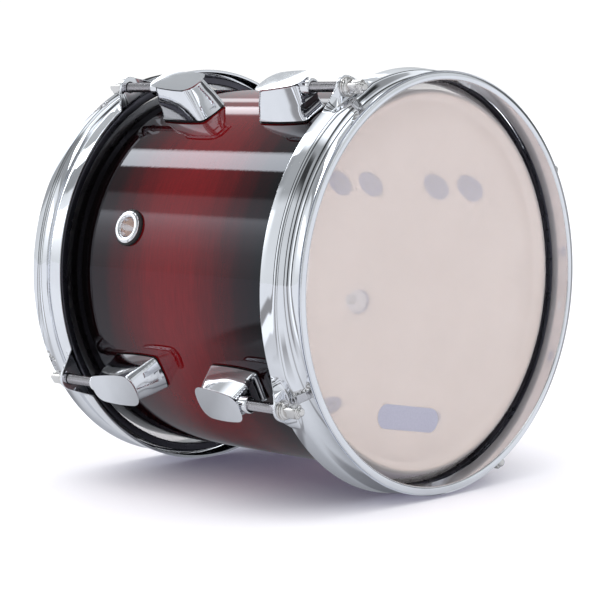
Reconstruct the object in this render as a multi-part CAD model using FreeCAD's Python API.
import FreeCAD, Part
import math
import os

from FreeCAD import Vector as V

# Small lacquered tom-tom, 8 in across and 7 in deep, lying on its side.
# Millimetres, +Z up.  The drum's axis runs along Y.  The origin is the centre
# of the front head's outer face, which faces -Y; the drum runs back to +Y.
# Angles go round the axis from +X towards +Z.  While a piece is being made,
# Y is measured from the middle of the shell; export() moves it to the frame.

# ---- driving dimensions ------------------------------------------------------
SHELL_R = 100.0          # outer radius of the wooden shell
SHELL_T = 6.0            # wall of the shell
SHELL_HALF = 89.0        # middle of the shell to a bearing edge
EDGE_R = 98.0            # radius of the crest of the bearing edge
EDGE_FLAT = 0.6          # width of that crest

LUG_COUNT = 4            # lugs to a head
FIRST_LUG = 29.0         # angle of the first lug, degrees
GASKET_T = 1.0           # rubber pad under a lug
LUG_NOSE = 20.6          # corner of the lug nearest the middle of the shell
LUG_BOW = 1.4            # how far the nose bulges past its corners
LUG_END = 55.0           # end of the lug nearest the hoop
LUG_TOP = 20.8           # height of the lug above the shell
LUG_WALL = 2.0
SCREW_PITCH = 24.5       # between the two screws of a lug
SCREW_FIRST = 24.8       # screw nearest the middle of the shell

ROD_CIRCLE = 115.6       # radius on which the tension rods stand
ROD_R = 2.78             # 7/32 in rod
ROD_TIP = 33.0           # free end of a rod, from the middle of the shell
NUT_R = 4.4
NUT_END = 59.2           # end of the swivel nut that shows outside the lug
RUN_GAP = 0.08           # running clearance of a rod in its nut

RIM = 101.0              # middle of the shell to the rim of a hoop
SHEET = 1.6              # steel of the hoop
NECK_R = 106.4           # outside of the hoop above the head
SKIRT_R = 110.4          # outside of the hoop round the flesh hoop
LIP_R = 108.9
FLARE_R = 111.4          # lower edge of the skirt
FLARE_Y = 75.4
EAR_Y = 81.4             # face of the ear that the rod washer sits on
EAR_TIP = 121.4

FILM_T = 0.25
FLESH_IN = 103.2
FLESH_OUT = 107.4
FLESH_TOP = 85.6
FLESH_LOW = 78.6

VENT_ANGLE = 164.0
VENT_Y = 35.7
VENT_R = 5.2

MOUNT_ANGLE = -16.0
STRIP_IN = 112.0         # inside of the bracket's strip
STRIP_OUT = 115.0
BOLT_Y = 41.0            # where the bracket is bolted to the shell
ARM_Y = -69.0            # front face of the bracket's arms
ARM_T = 3.0
ARM_OUT = 122.0          # outer edge of the arms
ARM_SWEEP = 49.8         # half angle of the arms: their lower end meets the floor
CLAMP_Y = -8.0           # middle of the tube clamp
CLAMP_BORE = 11.3        # takes a 7/8 in tube, 11.1 in radius
CLAMP_R = 18.0
CLAMP_MOUTH = 164.0      # open end of the clamp, from the drum's axis
SCREW_LINE = 142.0       # the wing bolt's distance from the drum's axis

LUG_ANGLES = [FIRST_LUG + i * 360.0 / LUG_COUNT for i in range(LUG_COUNT)]
SIDES = {"front": -1, "rear": 1}
AXIS = V(0, 1, 0)
ORIGIN = V(0, 0, 0)


# ---- helpers -----------------------------------------------------------------
def export(shape, name):
    """Moves a piece from the middle of the shell to the frame and writes it."""
    moved = shape.copy()
    moved.translate(V(0, SHELL_HALF + FILM_T, 0))
    moved.exportStep("parts/" + name + ".step")
    print("%-24s solids %2d  volume %10.2f" % (name, len(moved.Solids), moved.Volume))


def face(points):
    return Part.Face(Part.makePolygon([V(*p) for p in points + points[:1]]))


def turned(outline):
    """Spins an outline of (radius, y) points round the drum's axis."""
    return face([(r, y, 0) for r, y in outline]).revolve(ORIGIN, AXIS, 360)


def round_about(shape, angle):
    """Carries a piece made at angle 0 round the drum."""
    out = shape.copy()
    out.rotate(ORIGIN, AXIS, -angle)
    return out


def on_side(shape, side):
    """Keeps a piece made on the rear half, or mirrors it to the front half."""
    return shape.copy() if side > 0 else shape.mirror(ORIGIN, AXIS)


def along_rod(radius, y0, y1):
    """A cylinder on the rod's line, at angle 0."""
    return Part.makeCylinder(radius, y1 - y0, V(ROD_CIRCLE, y0, 0), AXIS)


def radial(radius, r0, r1, y):
    """A cylinder that points away from the drum's axis, at angle 0."""
    return Part.makeCylinder(radius, r1 - r0, V(r0, y, 0), V(1, 0, 0))


def circle_edges(shape, radius, y):
    """The edges that are a full turn of this radius round the drum at this y."""
    found = []
    for edge in shape.Edges:
        curve = edge.Curve
        if isinstance(curve, Part.Circle) and abs(curve.Radius - radius) < 0.01:
            if abs(curve.Center.y - y) < 0.01:
                found.append(edge)
    return found


def arc_wire(r, corner_y, bow_y, end_y, half_nose, half_end):
    """Outline of a lug at one height: bowed nose, straight tapering sides."""
    nose = Part.Arc(V(r, corner_y, -half_nose), V(r, bow_y, 0), V(r, corner_y, half_nose))
    a = V(r, corner_y, half_nose)
    b = V(r, end_y, half_end)
    c = V(r, end_y, -half_end)
    d = V(r, corner_y, -half_nose)
    lines = [Part.LineSegment(p, q).toShape() for p, q in ((a, b), (b, c), (c, d))]
    return Part.Wire([nose.toShape()] + lines)


# ---- shell -------------------------------------------------------------------
def screw_stations():
    return (SCREW_FIRST, SCREW_FIRST + SCREW_PITCH)


def make_shell():
    inner = SHELL_R - SHELL_T
    crest_in = EDGE_R - EDGE_FLAT / 2
    crest_out = EDGE_R + EDGE_FLAT / 2
    bevel = crest_in - inner
    shoulder = (SHELL_R - crest_out) * 1.1
    half = [(inner, 0), (inner, SHELL_HALF - bevel), (crest_in, SHELL_HALF),
            (crest_out, SHELL_HALF), (SHELL_R, SHELL_HALF - shoulder), (SHELL_R, 0)]
    rear = turned(half)
    shell = rear.fuse(rear.mirror(ORIGIN, AXIS)).removeSplitter()
    holes = [round_about(radial(VENT_R + 1.0, inner - 5, SHELL_R + 5, VENT_Y), VENT_ANGLE),
             round_about(radial(3.2, inner - 5, SHELL_R + 5, BOLT_Y), MOUNT_ANGLE)]
    for angle in LUG_ANGLES:
        for side in SIDES.values():
            for y in screw_stations():
                hole = radial(2.8, inner - 5, SHELL_R + 5, side * y)
                holes.append(round_about(hole, angle))
    return shell.cut(Part.makeCompound(holes))


def make_vent():
    """The chromed eyelet and the rubber ring it stands on."""
    outer = SHELL_R + 1.6
    ring = radial(9.8, SHELL_R - 2, outer, VENT_Y)
    ring = ring.cut(Part.makeCylinder(SHELL_R, 60, V(0, VENT_Y - 30, 0), AXIS))
    ring = ring.cut(radial(VENT_R + 0.9, SHELL_R - 5, outer + 5, VENT_Y))
    inner = SHELL_R - SHELL_T
    eyelet = radial(8.8, outer, outer + 1.4, VENT_Y)
    eyelet = eyelet.fuse(radial(VENT_R + 0.9, inner - 1.2, outer, VENT_Y))
    crimp = radial(8.2, inner - 1.4, inner, VENT_Y)
    crimp = crimp.common(Part.makeCylinder(inner, 60, V(0, VENT_Y - 30, 0), AXIS))
    eyelet = eyelet.fuse(crimp).cut(radial(VENT_R, inner - 5, outer + 5, VENT_Y))
    eyelet = eyelet.removeSplitter()
    lip = [e for e in eyelet.Edges if abs(e.CenterOfMass.x - outer - 1.4) < 0.01]
    eyelet = eyelet.makeFillet(0.6, lip)
    return round_about(eyelet, VENT_ANGLE), round_about(ring, VENT_ANGLE)


# ---- lugs --------------------------------------------------------------------
def make_lug():
    """A hollow die-cast lug at angle 0 on the rear half."""
    base = SHELL_R - 2
    top = SHELL_R + LUG_TOP
    low = arc_wire(base, LUG_NOSE - 0.6, LUG_NOSE - 0.6 - LUG_BOW, LUG_END, 9.9, 8.8)
    high = arc_wire(top, 27.2, 27.2 - LUG_BOW, LUG_END - 1.5, 8.8, 5.6)
    body = Part.makeLoft([low, high], True, True)
    body = body.makeFillet(1.2, [e for e in body.Edges if e.BoundBox.XMax > base + 1])
    body = body.cut(Part.makeCylinder(8.2, 40, V(SHELL_R + 4.6, 61.2, -20), V(0, 0, 1)))

    wall = LUG_WALL
    low = arc_wire(base, LUG_NOSE - 0.6 + wall, LUG_NOSE - 0.6 - LUG_BOW + wall,
                   LUG_END - 5.5, 9.9 - wall, 8.8 - wall)
    high = arc_wire(top - wall, 26.6 + wall, 26.6 - LUG_BOW + wall,
                    LUG_END - 7.0, 8.9 - wall, 5.9 - wall)
    cavity = Part.makeLoft([low, high], True, True)
    posts = [radial(4.0, base, SHELL_R + 10, y) for y in screw_stations()]
    cavity = cavity.cut(Part.makeCompound(posts))
    lug = body.cut(cavity)

    groove = face([(SHELL_R + 3.5, 0, -3.2), (SHELL_R + 3.5, 0, 3.2), (SHELL_R + 17.5, 0, 0.5),
                   (SHELL_R + 17.5, 0, -0.5)]).extrude(V(0, 30, 0))
    slope = (27.2 - LUG_NOSE) / LUG_TOP
    depth = 0.9
    keep = face([(SHELL_R - 2, 0, -15), (SHELL_R - 2, LUG_NOSE - LUG_BOW - 2 * slope + depth, -15),
                 (top, 27.2 - LUG_BOW + depth, -15), (top, 0, -15)]).extrude(V(0, 0, 30))
    lug = lug.cut(groove.common(keep))

    lug = lug.cut(along_rod(NUT_R + 0.02, LUG_END - 9, LUG_END + 5))
    lug = lug.cut(along_rod(ROD_R + 0.6, ROD_TIP - 4, LUG_END))
    for y in screw_stations():
        lug = lug.cut(radial(2.5, base, SHELL_R + 8.5, y))
    return lug.cut(Part.makeCylinder(SHELL_R + GASKET_T, 120, ORIGIN, AXIS))


def make_gasket():
    """The rubber pad, a little larger than the foot of the lug."""
    edge = 0.7
    outline = arc_wire(SHELL_R - 4, LUG_NOSE - edge, LUG_NOSE - LUG_BOW - edge, LUG_END + edge,
                       9.8 + edge, 8.75 + edge)
    pad = Part.Face(outline).extrude(V(8, 0, 0))
    pad = pad.common(Part.makeCylinder(SHELL_R + GASKET_T, 120, ORIGIN, AXIS))
    pad = pad.cut(Part.makeCylinder(SHELL_R, 120, ORIGIN, AXIS))
    for y in screw_stations():
        pad = pad.cut(radial(2.8, SHELL_R - 4, SHELL_R + 4, y))
    return pad


def make_swivel_nut():
    nut = along_rod(NUT_R, LUG_END - 9, NUT_END)
    nut = nut.makeFillet(0.7, [e for e in nut.Edges if abs(e.CenterOfMass.y - NUT_END) < 0.01])
    return nut.cut(along_rod(ROD_R + RUN_GAP, 0, RIM))


def make_lug_screw(y):
    inner = SHELL_R - SHELL_T
    head = radial(4.2, inner - 3.8, inner - 1.4, y)
    head = head.makeFillet(0.9, [e for e in head.Edges if e.CenterOfMass.x < inner - 3.7])
    slot = Part.makeBox(1.2, 1.0, 5.0, V(inner - 3.9, y - 0.5, -2.5))
    cross = slot.fuse(Part.makeBox(1.2, 5.0, 1.0, V(inner - 3.9, y - 2.5, -0.5)))
    return head.fuse(radial(2.45, inner - 1.4, SHELL_R + 8, y)).cut(cross)


def make_inner_washer(radius, hole, y, thick):
    """A washer pressed against the inside of the shell."""
    inner = SHELL_R - SHELL_T
    disc = radial(radius, inner - thick, inner + 1, y)
    disc = disc.common(Part.makeCylinder(inner, 60, V(0, y - 30, 0), AXIS))
    return disc.cut(radial(hole, inner - 5, inner + 5, y))


# ---- hoops and heads ---------------------------------------------------------
def make_ear():
    side = Part.LineSegment(V(108.9, 0, -13.5), V(118.6, 0, -5.4)).toShape()
    tip = Part.Arc(V(118.6, 0, -5.4), V(EAR_TIP, 0, 0), V(118.6, 0, 5.4)).toShape()
    back = Part.LineSegment(V(118.6, 0, 5.4), V(108.9, 0, 13.5)).toShape()
    root = Part.LineSegment(V(108.9, 0, 13.5), V(108.9, 0, -13.5)).toShape()
    ear = Part.Face(Part.Wire([side, tip, back, root])).extrude(V(0, SHEET, 0))
    ear.translate(V(0, EAR_Y - SHEET, 0))
    return ear.cut(Part.makeCylinder(109.6, 200, V(0, -10, 0), AXIS))


def make_hoop():
    """Triple-flanged steel hoop of the rear head."""
    outline = [(FLARE_R, FLARE_Y), (SKIRT_R, 84.8), (NECK_R, 90.6), (NECK_R, RIM - 2.4),
               (LIP_R, RIM - 1.5), (LIP_R, RIM), (NECK_R - SHEET, RIM),
               (NECK_R - SHEET, 90.0), (FLESH_OUT, FLESH_TOP), (SKIRT_R - SHEET, 84.2),
               (FLARE_R - SHEET, FLARE_Y)]
    hoop = turned(outline)
    soft = circle_edges(hoop, SKIRT_R, 84.8) + circle_edges(hoop, NECK_R, 90.6)
    soft += circle_edges(hoop, NECK_R, RIM - 2.4)
    hoop = hoop.makeFillet(1.2, soft)
    rim_edges = circle_edges(hoop, LIP_R, RIM) + circle_edges(hoop, NECK_R - SHEET, RIM)
    hoop = hoop.makeFillet(0.6, rim_edges)
    for angle in LUG_ANGLES:
        hoop = hoop.fuse(round_about(make_ear(), angle))
    for angle in LUG_ANGLES:
        hole = along_rod(3.3, 70, RIM)
        seat = along_rod(5.6, EAR_Y, RIM)
        hoop = hoop.cut(round_about(hole.fuse(seat), angle))
    return hoop.removeSplitter()


def make_film():
    """Clear plastic head with its collar, down to the flesh hoop."""
    top = SHELL_HALF + FILM_T
    outline = [(0, SHELL_HALF), (98.6, SHELL_HALF), (100.6, SHELL_HALF - 1.2), (103.9, 84.0),
               (104.9, 82.8), (105.15, 82.8), (105.15, 83.0), (104.2, 84.2),
               (100.9, SHELL_HALF - 0.9), (98.8, top), (0, top)]
    return turned(outline)


def make_flesh_hoop(film):
    ring = turned([(FLESH_IN, FLESH_LOW), (FLESH_OUT, FLESH_LOW), (FLESH_OUT, FLESH_TOP),
                   (FLESH_IN, FLESH_TOP)])
    return ring.cut(film)


# ---- tension rods ------------------------------------------------------------
def make_rod():
    """Square-headed key rod; its flange bears on the washer of the ear."""
    seat = EAR_Y + 1.2
    shank = along_rod(ROD_R, ROD_TIP, seat)
    shank = shank.makeChamfer(0.8, [e for e in shank.Edges
                                    if abs(e.CenterOfMass.y - ROD_TIP) < 0.01])
    flange = along_rod(4.9, seat, seat + 2.0)
    flange = flange.makeFillet(0.8, [e for e in flange.Edges
                                     if abs(e.CenterOfMass.y - seat - 2.0) < 0.01])
    head = Part.makeBox(6.0, 10.0, 6.0, V(ROD_CIRCLE - 3.0, seat + 2.0, -3.0))
    head = head.common(along_rod(3.9, seat, seat + 12.0))
    cone = Part.makeCone(6.9, 2.4, 4.5, V(ROD_CIRCLE, seat + 7.5, 0), AXIS)
    column = along_rod(3.9, seat, seat + 7.5)
    head = head.common(cone.fuse(column))
    return shank.fuse([flange, head]).removeSplitter()


def make_rod_washer():
    return along_rod(5.2, EAR_Y, EAR_Y + 1.2).cut(along_rod(3.1, 70, RIM))


# ---- suspension mount on the hidden side ------------------------------------
def arc_plate(r0, r1, half_angle, y0, y1):
    """Part of a tube wall, half_angle degrees each side of angle 0."""
    plate = face([(r0, y0, 0), (r1, y0, 0), (r1, y1, 0), (r0, y1, 0)])
    plate.rotate(ORIGIN, AXIS, -half_angle)
    return plate.revolve(ORIGIN, AXIS, 2 * half_angle)


def make_bracket():
    """T-shaped steel bracket: two arms to the rods and one strip to the bolt."""
    arms = arc_plate(104.5, ARM_OUT, ARM_SWEEP, ARM_Y, ARM_Y + ARM_T)
    strip = arc_plate(STRIP_IN, STRIP_OUT, 11.0, ARM_Y, BOLT_Y + 13)
    bracket = arms.fuse(strip)
    for turn in (-45.0, 45.0):
        bracket = bracket.cut(round_about(along_rod(5.0, ARM_Y - 5, ARM_Y + 8), turn))
    bracket = bracket.cut(radial(5.0, STRIP_IN - 5, STRIP_OUT + 5, BOLT_Y))
    for y in clamp_screw_stations():
        bracket = bracket.cut(radial(2.7, STRIP_IN - 5, STRIP_OUT + 5, y))
    return bracket.removeSplitter()


def make_rod_bush():
    """Rubber spool that holds an arm off its rod."""
    spool = along_rod(5.0, ARM_Y, ARM_Y + ARM_T)
    spool = spool.fuse([along_rod(6.6, ARM_Y - 1.8, ARM_Y),
                        along_rod(6.6, ARM_Y + ARM_T, ARM_Y + ARM_T + 1.8)])
    return spool.cut(along_rod(ROD_R + 0.3, -RIM, RIM)).removeSplitter()


def make_isolator():
    """Rubber block between the bracket and the shell, with a neck through it."""
    block = radial(9.0, SHELL_R - 3, STRIP_IN + 1.0, BOLT_Y)
    block = block.cut(Part.makeCylinder(SHELL_R, 60, V(0, BOLT_Y - 30, 0), AXIS))
    block = block.cut(arc_plate(STRIP_IN, STRIP_OUT, 11.0, 0, 90))
    block = block.fuse(radial(5.0, SHELL_R + 2, STRIP_OUT + 2.0, BOLT_Y))
    top = radial(8.0, STRIP_OUT - 1, STRIP_OUT + 2.0, BOLT_Y)
    top = top.cut(arc_plate(STRIP_IN - 2, STRIP_OUT, 11.0, 0, 90))
    return block.fuse(top).cut(radial(3.2, SHELL_R - 5, STRIP_OUT + 5, BOLT_Y))


def make_mount_bolt():
    head_r = STRIP_OUT + 2.0
    head = radial(6.6, head_r, head_r + 4.2, BOLT_Y)
    head = head.makeFillet(1.4, [e for e in head.Edges if e.CenterOfMass.x > head_r + 4.1])
    socket = Part.makeBox(2.6, 5.0, 5.0, V(head_r + 2.2, BOLT_Y - 2.5, -2.5))
    return head.fuse(radial(2.95, 83.0, head_r, BOLT_Y)).cut(socket)


def make_mount_nut():
    face_r = SHELL_R - SHELL_T - 1.6
    corners = [(face_r - 5.0, BOLT_Y + 5.8 * math.cos(math.radians(a)),
                5.8 * math.sin(math.radians(a))) for a in range(0, 360, 60)]
    nut = face(corners).extrude(V(5.0, 0, 0))
    nut = nut.fuse(radial(6.4, face_r - 1.2, face_r, BOLT_Y))
    return nut.cut(radial(2.97, face_r - 8, face_r + 2, BOLT_Y))


def clamp_screw_stations():
    return (CLAMP_Y - 24.0, CLAMP_Y + 24.0)


def make_clamp():
    """Cast receiver for a 7/8 in tube, standing on the bracket's strip."""
    foot = Part.makeBox(9.0, 62.0, 32.0, V(STRIP_IN, CLAMP_Y - 31.0, -16.0))
    foot = foot.makeFillet(8.0, [e for e in foot.Edges
                                 if e.BoundBox.XLength > 8.9])
    foot = foot.cut(Part.makeCylinder(STRIP_OUT, 200, V(0, -100, 0), AXIS))
    barrel = radial(CLAMP_R, STRIP_OUT, CLAMP_MOUTH, CLAMP_Y)
    barrel = barrel.cut(Part.makeCylinder(STRIP_OUT, 200, V(0, -100, 0), AXIS))
    boss = Part.makeCylinder(9.0, 27.0, V(SCREW_LINE, CLAMP_Y, 0), V(0, 0, 1))
    body = barrel.fuse(boss)
    rim = [e for e in body.Edges if abs(e.CenterOfMass.x - CLAMP_MOUTH) < 0.01]
    body = body.makeFillet(1.2, rim).fuse(foot).removeSplitter()
    body = body.cut(radial(CLAMP_BORE, STRIP_OUT + 4, CLAMP_MOUTH + 5, CLAMP_Y))
    body = body.cut(shoe_block(0.12, 8.0, 17.6))
    body = body.cut(Part.makeCylinder(4.0 + RUN_GAP, 30, V(SCREW_LINE, CLAMP_Y, 10), V(0, 0, 1)))
    for y in clamp_screw_stations():
        body = body.cut(radial(2.7, STRIP_IN - 5, 130, y))
    return body


def shoe_block(gap, z0, z1):
    return Part.makeBox(16 + 2 * gap, 10 + 2 * gap, z1 - z0,
                        V(SCREW_LINE - 8 - gap, CLAMP_Y - 5 - gap, z0))


def make_shoe():
    """Pad that the wing bolt presses against the tube."""
    block = shoe_block(0.0, 8.0, 14.2)
    return block.cut(radial(CLAMP_BORE, STRIP_OUT, CLAMP_MOUTH, CLAMP_Y))


def make_wing_bolt():
    """M8 bolt on the line of the shoe, with two cast wings."""
    start = V(SCREW_LINE, CLAMP_Y, 14.2)
    up = V(0, 0, 1)
    screw = Part.makeCylinder(4.0, 22.8, start, up)
    hub = Part.makeCylinder(6.5, 10.0, V(SCREW_LINE, CLAMP_Y, 32.0), up)
    wings = face([(SCREW_LINE - 1.8, CLAMP_Y - 19, 44.0), (SCREW_LINE - 1.8, CLAMP_Y - 19, 52.0),
                  (SCREW_LINE - 1.8, CLAMP_Y - 12, 53.0), (SCREW_LINE - 1.8, CLAMP_Y - 5, 42.0),
                  (SCREW_LINE - 1.8, CLAMP_Y + 5, 42.0), (SCREW_LINE - 1.8, CLAMP_Y + 12, 53.0),
                  (SCREW_LINE - 1.8, CLAMP_Y + 19, 52.0), (SCREW_LINE - 1.8, CLAMP_Y + 19, 44.0),
                  (SCREW_LINE - 1.8, CLAMP_Y + 6, 33.0), (SCREW_LINE - 1.8, CLAMP_Y - 6, 33.0)])
    wings = wings.extrude(V(3.6, 0, 0))
    return screw.fuse([hub, wings]).removeSplitter()


def make_clamp_screw(y):
    """Pan-head screw from the clamp's foot into a nut behind the strip."""
    foot_top = STRIP_IN + 9.0
    head = radial(4.4, foot_top, foot_top + 3.0, y)
    head = head.makeFillet(1.0, [e for e in head.Edges if e.CenterOfMass.x > foot_top + 2.9])
    return head.fuse(radial(2.45, STRIP_IN - 6.0, foot_top, y))


def make_clamp_nut(y):
    corners = [(STRIP_IN - 4.4, y + 4.6 * math.cos(math.radians(a)),
                4.6 * math.sin(math.radians(a))) for a in range(0, 360, 60)]
    nut = face(corners).extrude(V(5.0, 0, 0))
    nut = nut.common(Part.makeCylinder(STRIP_IN, 200, V(0, -100, 0), AXIS))
    return nut.cut(radial(2.47, STRIP_IN - 9, STRIP_IN + 3, y))


# ---- assembly ----------------------------------------------------------------
def around(piece, side):
    """The same piece at each lug of one head, as one compound."""
    return Part.makeCompound([round_about(on_side(piece, side), a) for a in LUG_ANGLES])


def at_mount(piece):
    return round_about(piece, MOUNT_ANGLE)


def build():
    os.makedirs("parts", exist_ok=True)
    export(make_shell(), "shell")
    grommet, ring = make_vent()
    export(grommet, "vent_grommet")
    export(ring, "vent_gasket")

    lug = make_lug()
    gasket = make_gasket()
    nut = make_swivel_nut()
    rod = make_rod()
    hoop = make_hoop()
    film = make_film()
    flesh = make_flesh_hoop(film)
    screws = Part.makeCompound([make_lug_screw(y) for y in screw_stations()])
    washers = Part.makeCompound([make_inner_washer(7.5, 2.7, y, 1.4) for y in screw_stations()])
    for name, side in SIDES.items():
        for number, angle in enumerate(LUG_ANGLES, 1):
            tail = "_%d" % number
            export(round_about(on_side(lug, side), angle), name + "_lug" + tail)
            export(round_about(on_side(gasket, side), angle), name + "_lug_gasket" + tail)
            export(round_about(on_side(nut, side), angle), name + "_swivel_nut" + tail)
            export(round_about(on_side(rod, side), angle), name + "_tension_rod" + tail)
        export(around(screws, side), name + "_lug_screws")
        export(around(washers, side), name + "_lug_screw_washers")
        export(around(make_rod_washer(), side), name + "_rod_washers")
        export(on_side(hoop, side), name + "_hoop")
        export(on_side(film, side), name + "_head_film")
        export(on_side(flesh, side), name + "_flesh_hoop")

    export(at_mount(make_bracket()), "mount_bracket")
    for number, turn in enumerate((45.0, -45.0), 1):
        export(at_mount(round_about(make_rod_bush(), turn)), "mount_rod_bush_%d" % number)
    export(at_mount(make_isolator()), "mount_isolator")
    export(at_mount(make_mount_bolt()), "mount_bolt")
    export(at_mount(make_inner_washer(7.2, 3.1, BOLT_Y, 1.6)), "mount_bolt_washer")
    export(at_mount(make_mount_nut()), "mount_bolt_nut")
    export(at_mount(make_clamp()), "clamp_body")
    export(at_mount(Part.makeCompound([make_clamp_screw(y) for y in clamp_screw_stations()])),
           "clamp_screws")
    export(at_mount(Part.makeCompound([make_clamp_nut(y) for y in clamp_screw_stations()])),
           "clamp_nuts")
    export(at_mount(make_shoe()), "clamp_shoe")
    export(at_mount(make_wing_bolt()), "clamp_wing_bolt")


build()
